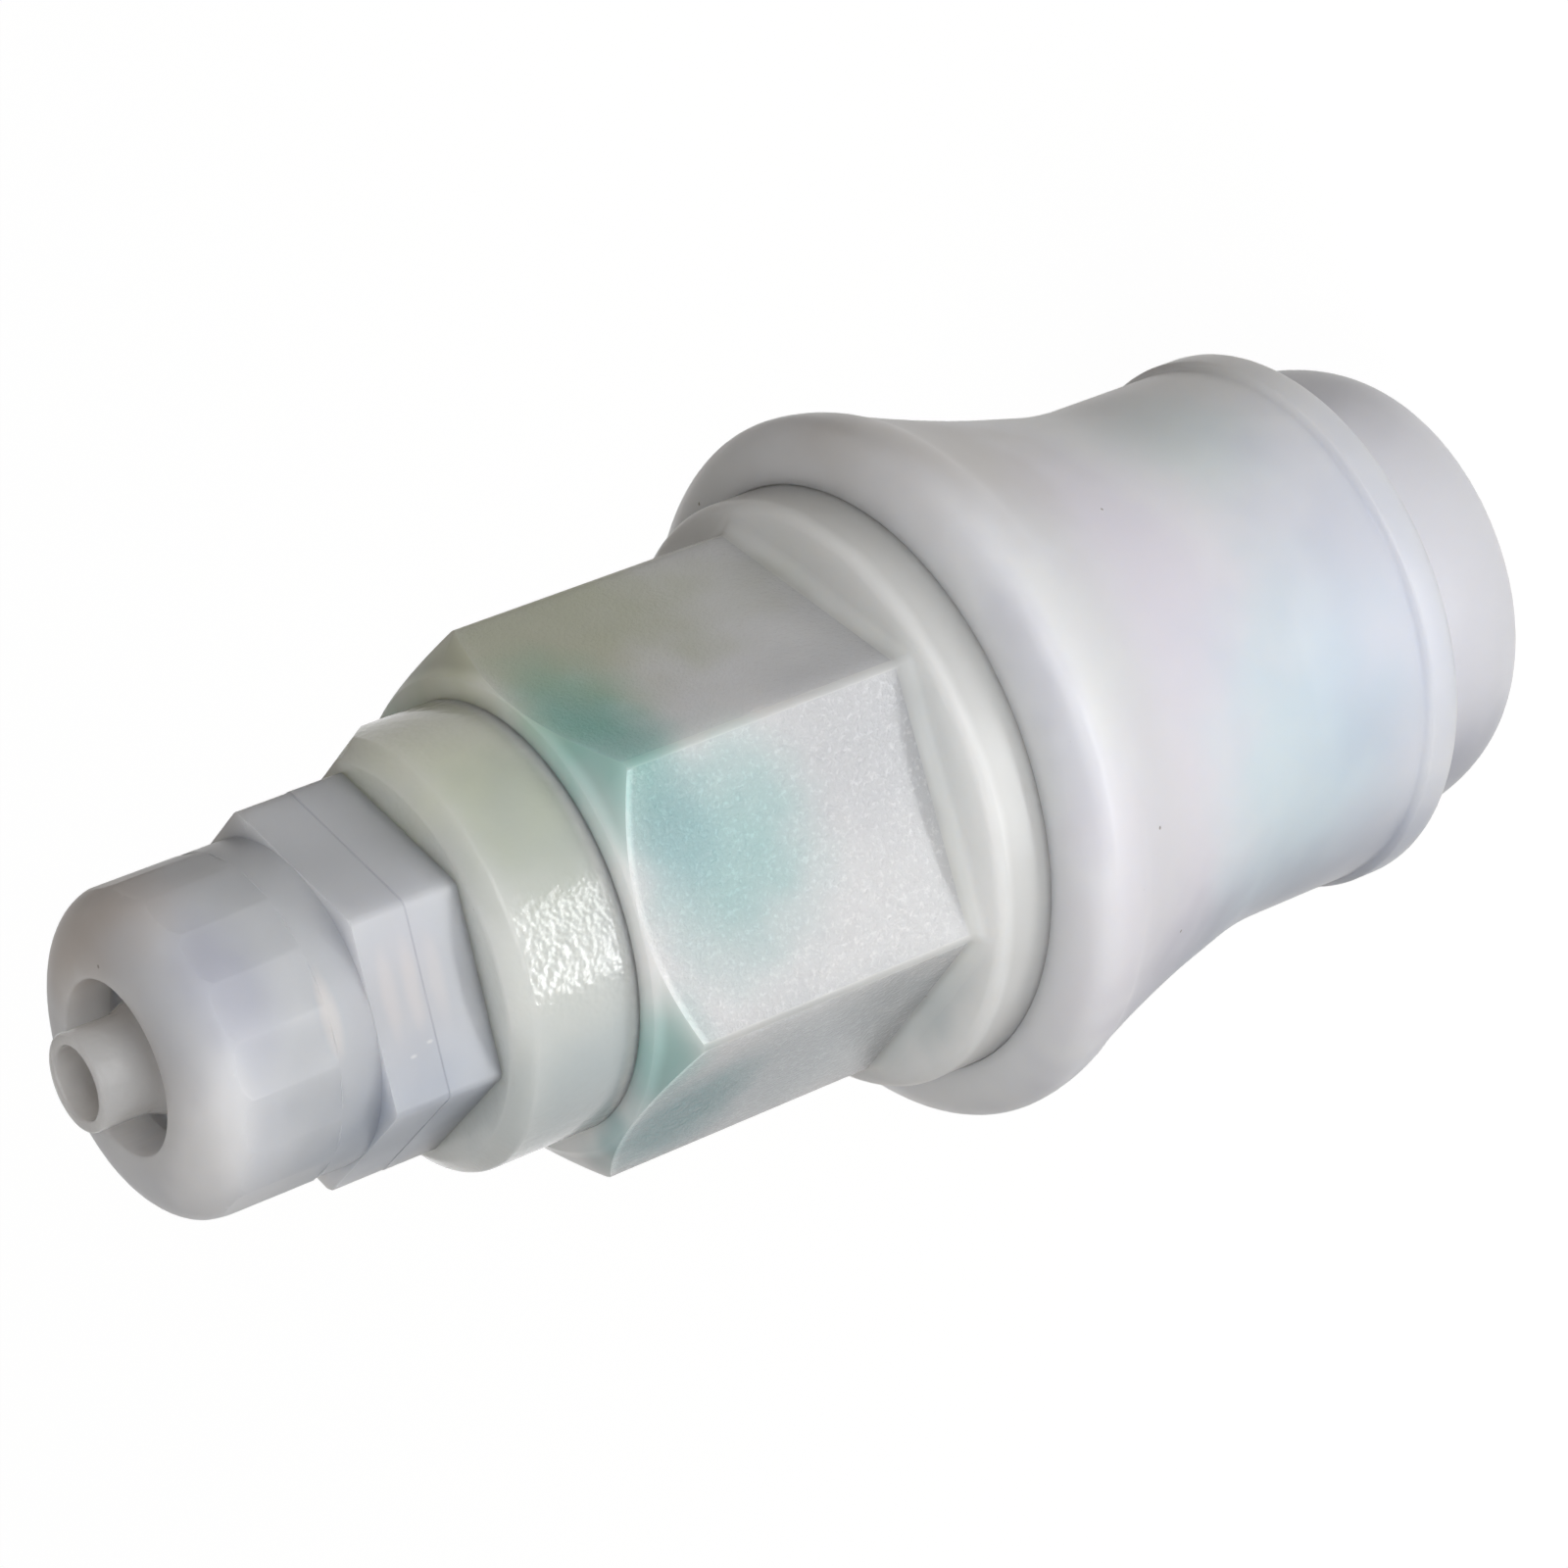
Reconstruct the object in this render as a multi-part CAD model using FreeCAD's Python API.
"""Plastic quick disconnect coupling: socket half with a valve and a clamped hose spigot.

Millimetres. The origin is the centre of the mouth face and +Z runs along the axis towards
the hose, so the coupling stands on its mouth. Every outline is drawn in the XZ plane, as
(radius, height), and turned about Z.
"""
import FreeCAD, Part
import math
import os

V = FreeCAD.Vector
ORIGIN = V(0, 0, 0)
UP = V(0, 0, 1)
TINY = 1e-4
OVERLAP = 1                     # how far a tool or a fused piece reaches past the face it shares

# ---- driving dimensions ----------------------------------------------------------------
# Mouth ring, which holds the sleeve on and guides the plug in
ring_length = 7.4
ring_radius = 9.7
ring_face_radius = 7.7          # outer edge of the flat face that the coupling stands on
ring_nose_length = 4.4          # how far the rounding reaches up from the face
ring_lip = 1.6                  # thickness of the lip in front of the barrel
mouth_chamfer = 0.4

# Plug bore of the coupling body
mouth_bore_radius = 6.0
plug_bore_radius = 5.8
mouth_bore_depth = 7.6
plug_bore_depth = 17.4
barrel_radius = 8.2
plug_groove_height = 13.0       # underside of the plug seal's groove
plug_seal_section = 1.4
plug_seal_bite = 0.25           # how far the seal stands into the bore
plug_seal_room = 0.35           # spare height of the groove, which the squeezed seal fills

# Locking balls
ball_count = 8
ball_radius = 1.5
ball_height = 9.4
ball_seat_half_angle = 30
ball_travel = 0.6               # outward, over the sleeve's whole stroke

# Release sleeve
sleeve_start = 5.95             # height of its mouth end
sleeve_top = 27.8               # height of the lip's inner edge
sleeve_stroke = 3.0
sleeve_grip_radius = 10.95      # the straight front part
sleeve_band_radius = 11.25      # raised band at the mouth end
sleeve_band_length = 1.5
sleeve_edge_round = 0.4
sleeve_waist_height = 14.4      # where the straight front part meets the waist's cone
sleeve_waist_blend = 1.4        # rounding to each side of that corner
sleeve_waist_slope = 0.24       # what the cone gains in radius over its length
sleeve_flare_start = 18.0       # height where the cone bends outward to the lip
sleeve_flare_height = 21.24     # height where cone and flare would meet if they were sharp
lip_outer_radius = 14.38
lip_height = 1.5                # from the lip's inner edge down to its widest ring
lip_bead_length = 1.8
lip_bead_share = 0.4            # of that length, up to the corner that the bead's rounding turns
lip_end_radius = 13.9
lip_gap = 0.55                  # radial, between lip and flange
land_length = 4.9
chamber_radius = 9.45

# Flange and wrench hexagon of the body
flange_radius = 12.0
flange_top = 30.15
flange_thickness = 3.95
flange_edge_round = 0.45
body_hex_flats = 19.0
body_top = 44.5
body_hex_chamfer = 1.3          # length of the turned cone on the hexagon's hose end
body_end_radius = 9.45          # where that cone starts, at the flat end face
body_hex_corner_round = 0.25
hex_foot_fillet = 0.6

# Valve
seat_radius = 4.2
seat_height = 19.0
chamber_bore_radius = 6.2
poppet_head_radius = 5.6
poppet_gap = 0.35               # between the poppet's cone and the seat
poppet_rim = 1.6
poppet_tip_radius = 2.2
poppet_tip_height = 15.4
poppet_stem_radius = 1.5
poppet_stem_in_guide = 3.1      # how deep the stem stands in the guide while the valve is shut
valve_seal_inset = 0.35         # from the passage's edge out to the seal
valve_seal_width = 0.75
valve_seal_depth = 0.5

# Valve guide, a spider in the adapter's hollow shank
guide_length = 7.0
guide_hub_radius = 2.9
guide_arm_count = 6
guide_arm_width = 2.2
guide_turn = 30                 # the arms face the flats of the body's hexagon

# Adapter
shank_radius = 7.6
shank_length = 8.2
shank_bore_radius = 6.3
seal_thickness = 1.0
collar_radius = 8.6
collar_length = 5.3
collar_chamfer = 0.75
gate_flat_turn = 86             # azimuth of the flat that trimming the gate left on the collar
gate_flat_slope = 29.3          # degrees between that flat and the axis
gate_flat_depth = 1.7           # radial, at the collar's front
stub_radius = 5.5
stub_length = 8.0
cone_base_radius = 3.05
cone_length = 3.2
cone_blend = 0.2                # the flare runs into the spigot over this length
funnel_radius = 4.9             # passage in the collar, where it meets the guide
spigot_radius = 1.92
spigot_bore_radius = 1.45
spigot_length = 5.6             # from the end of the threaded stub to the tip

# Union nut
nut_length = 11.9
nut_turn = -4.8                 # where its corners stop, against the body's
nut_hex_flats = 13.0
nut_hex_length = 4.6
nut_corner_chamfer = 0.15
parting_step = 0.05             # mismatch of the two mould halves, across each flat
nut_band_radius = 6.42          # plain ring between the hexagon and the faceted nose
nut_band_length = 1.7
nut_nose_radius = 6.47
nut_nose_round = 2.0
nut_bore_radius = 3.4
nut_wall_in_nose = 1.9
facet_count = 18
facet_depth = 0.1

# Springs
sleeve_wire = 0.8
sleeve_coils = 5
valve_wire = 0.7
valve_coils = 6
valve_spring_radius = 3.3

# Clearances
slide_gap = 0.08                # sleeve land on barrel
skirt_gap = 0.12                # sleeve skirt round the mouth ring
face_gap = 0.05                 # between faces that meet at rest but part in use
ball_gap = 0.02
stem_gap = 0.08
seal_gap = 0.02
snap_gap = 0.02                 # between pieces that are snapped or screwed together
thread_gap = 0.1                # union nut round the adapter's stub
stub_room = 0.3                 # between the stub's end and the cone inside the nut
coil_gap = 0.15                 # spring to the wall beside it

# ---- sizes that follow -----------------------------------------------------------------
body_hex_corner = body_hex_flats / math.sqrt(3)
flange_inner_reach = (body_hex_corner + flange_radius) / 2
nut_hex_corner = nut_hex_flats / math.sqrt(3)
lip_bore_radius = flange_radius + lip_gap
flange_bottom = flange_top - flange_thickness
seat_length = chamber_bore_radius - seat_radius     # a 45 degree seat
land_radius = barrel_radius + slide_gap
ramp_angle = math.atan(ball_travel / sleeve_stroke)
ball_offset = ball_radius + ball_gap
ball_centre = land_radius - ball_offset * math.cos(ramp_angle)
land_start = ring_length + face_gap
land_end = land_start + land_length
seal_seat = body_top - shank_length - seal_thickness
guide_top = body_top - snap_gap
guide_start = guide_top - guide_length
poppet_stem_top = guide_start + poppet_stem_in_guide
collar_top = body_top + snap_gap + collar_length
stub_top = collar_top + stub_length
spigot_tip = stub_top + spigot_length
nut_start = collar_top + face_gap
nut_top = nut_start + nut_length
lip_floor = flange_bottom - sleeve_stroke - face_gap
nut_thread_radius = stub_radius + thread_gap


# ---- drawing helpers -------------------------------------------------------------------
def at(radius, height):
    return V(radius, 0, height)


def rounded(start, corner, end):
    """A quarter-ellipse edge from start to end that would meet at corner if it were sharp."""
    curve = Part.BezierCurve()
    curve.setPoles([start, corner, end])
    curve.setWeight(2, math.cos(math.pi / 4))
    return curve.toShape()


def outline(steps):
    """Edges through the steps: a (radius, height) point is reached in a straight line, and a
    pair of points (corner, end) is reached by rounding the corner. The outline closes itself."""
    first = at(*steps[0])
    here = first
    edges = []
    for step in steps[1:]:
        if isinstance(step[0], tuple):
            corner, end = (at(*point) for point in step)
            edges.append(rounded(here, corner, end))
        else:
            end = at(*step)
            edges.append(Part.makeLine(here, end))
        here = end
    edges.append(Part.makeLine(here, first))
    return Part.Wire(edges)


def turned(steps):
    """Solid of revolution about Z."""
    return Part.Face(outline(steps)).revolve(ORIGIN, UP, 360)


def drum(radius, low, high):
    return Part.makeCylinder(radius, high - low, at(0, low))


def prism(corners, corner_radius, low, high):
    """Upright prism with its first corner on +X."""
    points = []
    for index in range(corners + 1):
        angle = 2 * math.pi * index / corners
        points.append(V(corner_radius * math.cos(angle), corner_radius * math.sin(angle), low))
    return Part.Face(Part.makePolygon(points)).extrude(V(0, 0, high - low))


def radial(shape, angle):
    """Copy of a shape that was drawn on +X, turned to its place round the axis."""
    copy = shape.copy()
    copy.rotate(ORIGIN, UP, angle)
    return copy


def lies_at(edge, height):
    box = edge.BoundBox
    return abs(box.ZMin - height) < TINY and abs(box.ZMax - height) < TINY


def reach(edge):
    """Largest distance of an edge's ends from the axis."""
    return max(math.hypot(end.X, end.Y) for end in edge.Vertexes)


def ball_angles():
    return [360.0 * index / ball_count for index in range(ball_count)]


def coil(low, high, mean_radius, wire, coils):
    """Wire spring whose ends lie just clear of the two faces it stands between. The wire has
    six sides, because a round one takes ten times the facets and is never seen."""
    wire_radius = wire / 2
    start = low + wire_radius + coil_gap
    height = high - low - wire - 2 * coil_gap
    helix = Part.makeHelix(height / coils, height, mean_radius)
    section = Part.makePolygon([
        at(mean_radius + wire_radius * math.cos(math.pi * corner / 3),
           wire_radius * math.sin(math.pi * corner / 3)) for corner in range(7)])
    spring = Part.Wire(helix.Edges).makePipeShell([section], True, True)
    spring.translate(at(0, start))
    return spring


# ---- pieces ----------------------------------------------------------------------------
def coupling_body():
    hexagon = prism(6, body_hex_corner, flange_bottom, body_top)
    uprights = [edge for edge in hexagon.Edges if edge.BoundBox.ZLength > TINY]
    hexagon = hexagon.makeFillet(body_hex_corner_round, uprights)
    envelope = turned([
        (0, flange_bottom), (body_hex_corner, flange_bottom),
        (body_hex_corner, body_top - body_hex_chamfer),
        (body_end_radius, body_top), (0, body_top)])
    outside = turned([
        (0, ring_lip), (barrel_radius, ring_lip), (barrel_radius, flange_bottom),
        (flange_radius, flange_bottom), (flange_radius, flange_top - flange_edge_round),
        ((flange_radius, flange_top), (flange_radius - flange_edge_round, flange_top)),
        (0, flange_top)])
    body = outside.fuse(hexagon.common(envelope))
    foot = [edge for edge in body.Edges
            if lies_at(edge, flange_top) and reach(edge) < flange_inner_reach]
    body = body.makeFillet(hex_foot_fillet, foot)
    seat_top = seat_height + seat_length
    groove_radius = plug_bore_radius - plug_seal_bite + plug_seal_section + seal_gap
    groove_top = plug_groove_height + plug_seal_section + plug_seal_room
    bore = turned([
        (0, 0), (mouth_bore_radius, 0), (mouth_bore_radius, mouth_bore_depth),
        (plug_bore_radius, mouth_bore_depth), (plug_bore_radius, plug_groove_height),
        (groove_radius, plug_groove_height), (groove_radius, groove_top),
        (plug_bore_radius, groove_top), (plug_bore_radius, plug_bore_depth),
        (seat_radius, plug_bore_depth), (seat_radius, seat_height),
        (chamber_bore_radius, seat_top), (chamber_bore_radius, seal_seat),
        (shank_radius + snap_gap, seal_seat), (shank_radius + snap_gap, body_top + OVERLAP),
        (0, body_top + OVERLAP)])
    body = body.cut(bore)
    hole = ball_hole()
    for angle in ball_angles():
        body = body.cut(radial(hole, angle))
    return body


def ball_hole():
    """A radial hole whose cone stops the ball from dropping into the bore."""
    half_angle = math.radians(ball_seat_half_angle)
    apex = ball_centre - ball_offset / math.sin(half_angle)
    seat_depth = ball_offset / math.tan(half_angle)
    outward = V(1, 0, 0)
    seat = Part.makeCone(0, ball_offset, seat_depth, at(apex, ball_height), outward)
    way_out = Part.makeCylinder(ball_offset, barrel_radius, at(apex + seat_depth, ball_height), outward)
    return seat.fuse(way_out)


def mouth_ring():
    chamfer_end = mouth_bore_radius + mouth_chamfer
    inside = barrel_radius + snap_gap
    return turned([
        (mouth_bore_radius, mouth_chamfer), (chamfer_end, 0), (ring_face_radius, 0),
        ((ring_radius, 0), (ring_radius, ring_nose_length)), (ring_radius, ring_length),
        (inside, ring_length), (inside, ring_lip - snap_gap),
        (mouth_bore_radius, ring_lip - snap_gap)])


def waist_point(height):
    """Point at this height on the cone between the sleeve's straight part and its flare."""
    return (sleeve_grip_radius + sleeve_waist_slope * (height - sleeve_waist_height), height)


def release_sleeve():
    skirt = ring_radius + skirt_gap
    band_top = sleeve_start + sleeve_band_length
    ramp_top = ball_height + ball_offset * math.sin(ramp_angle)
    ramp_rise = (ramp_top - land_start) * math.tan(ramp_angle)
    widest = sleeve_top - lip_height
    bead_end = widest - lip_bead_length
    return turned([
        (skirt, sleeve_start), (sleeve_band_radius - sleeve_edge_round, sleeve_start),
        ((sleeve_band_radius, sleeve_start), (sleeve_band_radius, sleeve_start + sleeve_edge_round)),
        (sleeve_band_radius, band_top), (sleeve_grip_radius, band_top),
        (sleeve_grip_radius, sleeve_waist_height - sleeve_waist_blend),
        (waist_point(sleeve_waist_height), waist_point(sleeve_waist_height + sleeve_waist_blend)),
        waist_point(sleeve_flare_start),
        (waist_point(sleeve_flare_height), (lip_end_radius, bead_end)),
        ((lip_outer_radius, bead_end + lip_bead_share * lip_bead_length), (lip_outer_radius, widest)),
        ((lip_outer_radius, sleeve_top), (lip_bore_radius, sleeve_top)),
        (lip_bore_radius, lip_floor),
        (chamber_radius, lip_floor - (lip_bore_radius - chamber_radius)),
        (chamber_radius, land_end), (land_radius, land_end), (land_radius, ramp_top),
        (land_radius + ramp_rise, land_start), (skirt, land_start)])


def locking_ball(angle):
    return radial(Part.makeSphere(ball_radius, V(ball_centre, 0, ball_height)), angle)


def plug_seal():
    """A D-ring: flat in its groove, and round where the plug slides through."""
    inner = plug_bore_radius - plug_seal_bite
    shoulder = inner + plug_seal_section / 2
    outer = inner + plug_seal_section
    low = plug_groove_height + seal_gap
    high = low + plug_seal_section
    middle = (low + high) / 2
    return turned([
        (outer, low), (shoulder, low), ((inner, low), (inner, middle)),
        ((inner, high), (shoulder, high)), (outer, high)])


def seat_point(distance, radius):
    """Point at this distance off the valve seat's cone, on the chamber side."""
    return (radius, seat_height + (radius - seat_radius) + distance * math.sqrt(2))


def poppet_cone(radius):
    """Point on the poppet's cone, which runs parallel to the valve seat."""
    return seat_point(poppet_gap, radius)


def valve_seal_outline(gap):
    """The moulded seal's section, or with a gap its groove's. Its outer face meets the seat."""
    inner = seat_radius + valve_seal_inset - gap
    outer = inner + valve_seal_width + 2 * gap
    low = seat_point(seal_gap, inner)
    high = seat_point(seal_gap, outer)
    back = poppet_cone(outer)[1] + valve_seal_depth + gap
    return [low, high, (outer, back), (inner, back)]


def valve_seal():
    return turned(valve_seal_outline(0))


def poppet_head_top():
    return poppet_cone(poppet_head_radius)[1] + poppet_rim


def valve_poppet():
    nose = seat_radius - poppet_gap
    poppet = turned([
        (0, poppet_tip_height), (poppet_tip_radius, poppet_tip_height),
        (poppet_tip_radius, poppet_cone(nose)[1]), poppet_cone(nose),
        poppet_cone(poppet_head_radius), (poppet_head_radius, poppet_head_top()),
        (poppet_stem_radius, poppet_head_top()), (poppet_stem_radius, poppet_stem_top),
        (0, poppet_stem_top)])
    return poppet.cut(turned(valve_seal_outline(seal_gap)))


def valve_guide():
    rim = shank_bore_radius - snap_gap
    corner = V(0, -guide_arm_width / 2, guide_start)
    arm = Part.makeBox(rim + OVERLAP, guide_arm_width, guide_length, corner)
    spider = drum(guide_hub_radius, guide_start, guide_top)
    for index in range(guide_arm_count):
        spider = spider.fuse(radial(arm, guide_turn + 360.0 * index / guide_arm_count))
    spider = spider.common(drum(rim, guide_start, guide_top))
    stem_hole = drum(poppet_stem_radius + stem_gap, guide_start - OVERLAP, guide_top + OVERLAP)
    return spider.cut(stem_hole)


def adapter_seal():
    low = seal_seat + snap_gap
    high = seal_seat + seal_thickness - snap_gap
    return drum(shank_radius, low, high).cut(drum(chamber_bore_radius, low, high))


def hose_adapter():
    shank_end = body_top - shank_length
    collar_start = body_top + snap_gap
    cone_top = stub_top + cone_length
    adapter = turned([
        (shank_bore_radius, shank_end), (shank_radius, shank_end), (shank_radius, collar_start),
        (collar_radius, collar_start), (collar_radius, collar_top - collar_chamfer),
        (collar_radius - collar_chamfer, collar_top), (stub_radius, collar_top), (stub_radius, stub_top),
        (cone_base_radius, stub_top),
        ((spigot_radius, cone_top), (spigot_radius, cone_top + cone_blend)),
        (spigot_radius, spigot_tip), (spigot_bore_radius, spigot_tip),
        (spigot_bore_radius, collar_top), (funnel_radius, collar_start),
        (shank_bore_radius, collar_start)])
    return adapter.cut(radial(gate_wedge(), gate_flat_turn))


def gate_wedge():
    """What trimming the gate takes off the collar, drawn on +X."""
    length_per_radius = 1 / math.tan(math.radians(gate_flat_slope))
    inner = collar_radius - gate_flat_depth - OVERLAP
    outer = collar_radius + OVERLAP
    high = collar_top + OVERLAP * length_per_radius
    low = high - (outer - inner) * length_per_radius
    section = Part.makePolygon([at(inner, high), at(outer, low), at(outer, high), at(inner, high)])
    wedge = Part.Face(section).extrude(V(0, 2 * collar_radius, 0))
    wedge.translate(V(0, -collar_radius, 0))
    return wedge


def union_nut():
    hex_top = nut_start + nut_hex_length
    band_top = hex_top + nut_band_length
    cone_low = nut_top - nut_wall_in_nose
    parting = nut_start + nut_hex_length / 2
    front_scale = 1 - 2 * parting_step / nut_hex_flats
    hexagon = prism(6, nut_hex_corner, nut_start, parting).fuse(
        prism(6, nut_hex_corner * front_scale, parting, hex_top))
    envelope = turned([
        (0, nut_start), (nut_hex_corner, nut_start), (nut_hex_corner, hex_top - nut_corner_chamfer),
        (nut_hex_corner - nut_corner_chamfer, hex_top), (0, hex_top)])
    nose = turned([
        (0, band_top), (nut_nose_radius, band_top), (nut_nose_radius, nut_top - nut_nose_round),
        ((nut_nose_radius, nut_top), (nut_bore_radius, nut_top)), (0, nut_top)])
    facet_corner = (nut_nose_radius - facet_depth) / math.cos(math.pi / facet_count)
    nose = nose.common(prism(facet_count, facet_corner, band_top, nut_top))
    band = drum(nut_band_radius, hex_top, band_top)
    nut = hexagon.common(envelope).fuse(band).fuse(nose)
    inside = turned([
        (0, nut_start - OVERLAP), (nut_thread_radius, nut_start - OVERLAP),
        (nut_thread_radius, stub_top + stub_room), (nut_bore_radius, cone_low),
        (nut_bore_radius, nut_top + OVERLAP), (0, nut_top + OVERLAP)])
    return radial(nut.cut(inside), nut_turn)


def sleeve_spring():
    mean = barrel_radius + coil_gap + sleeve_wire / 2
    return coil(land_end, flange_bottom, mean, sleeve_wire, sleeve_coils)


def valve_spring():
    return coil(poppet_head_top(), guide_start, valve_spring_radius, valve_wire, valve_coils)


# ---- build -----------------------------------------------------------------------------
def pieces():
    named = {
        "coupling_body": coupling_body(),
        "mouth_ring": mouth_ring(),
        "release_sleeve": release_sleeve(),
        "sleeve_spring": sleeve_spring(),
        "plug_seal": plug_seal(),
        "valve_poppet": valve_poppet(),
        "valve_seal": valve_seal(),
        "valve_spring": valve_spring(),
        "valve_guide": valve_guide(),
        "adapter_seal": adapter_seal(),
        "hose_adapter": hose_adapter(),
        "union_nut": union_nut(),
    }
    for index, angle in enumerate(ball_angles()):
        named[f"locking_ball_{index + 1}"] = locking_ball(angle)
    return named


os.makedirs("parts", exist_ok=True)
for name, shape in pieces().items():
    shape.exportStep(f"parts/{name}.step")
    print(f"{name}: {shape.Volume:.1f} mm3, solids {len(shape.Solids)}, valid {shape.isValid()}")
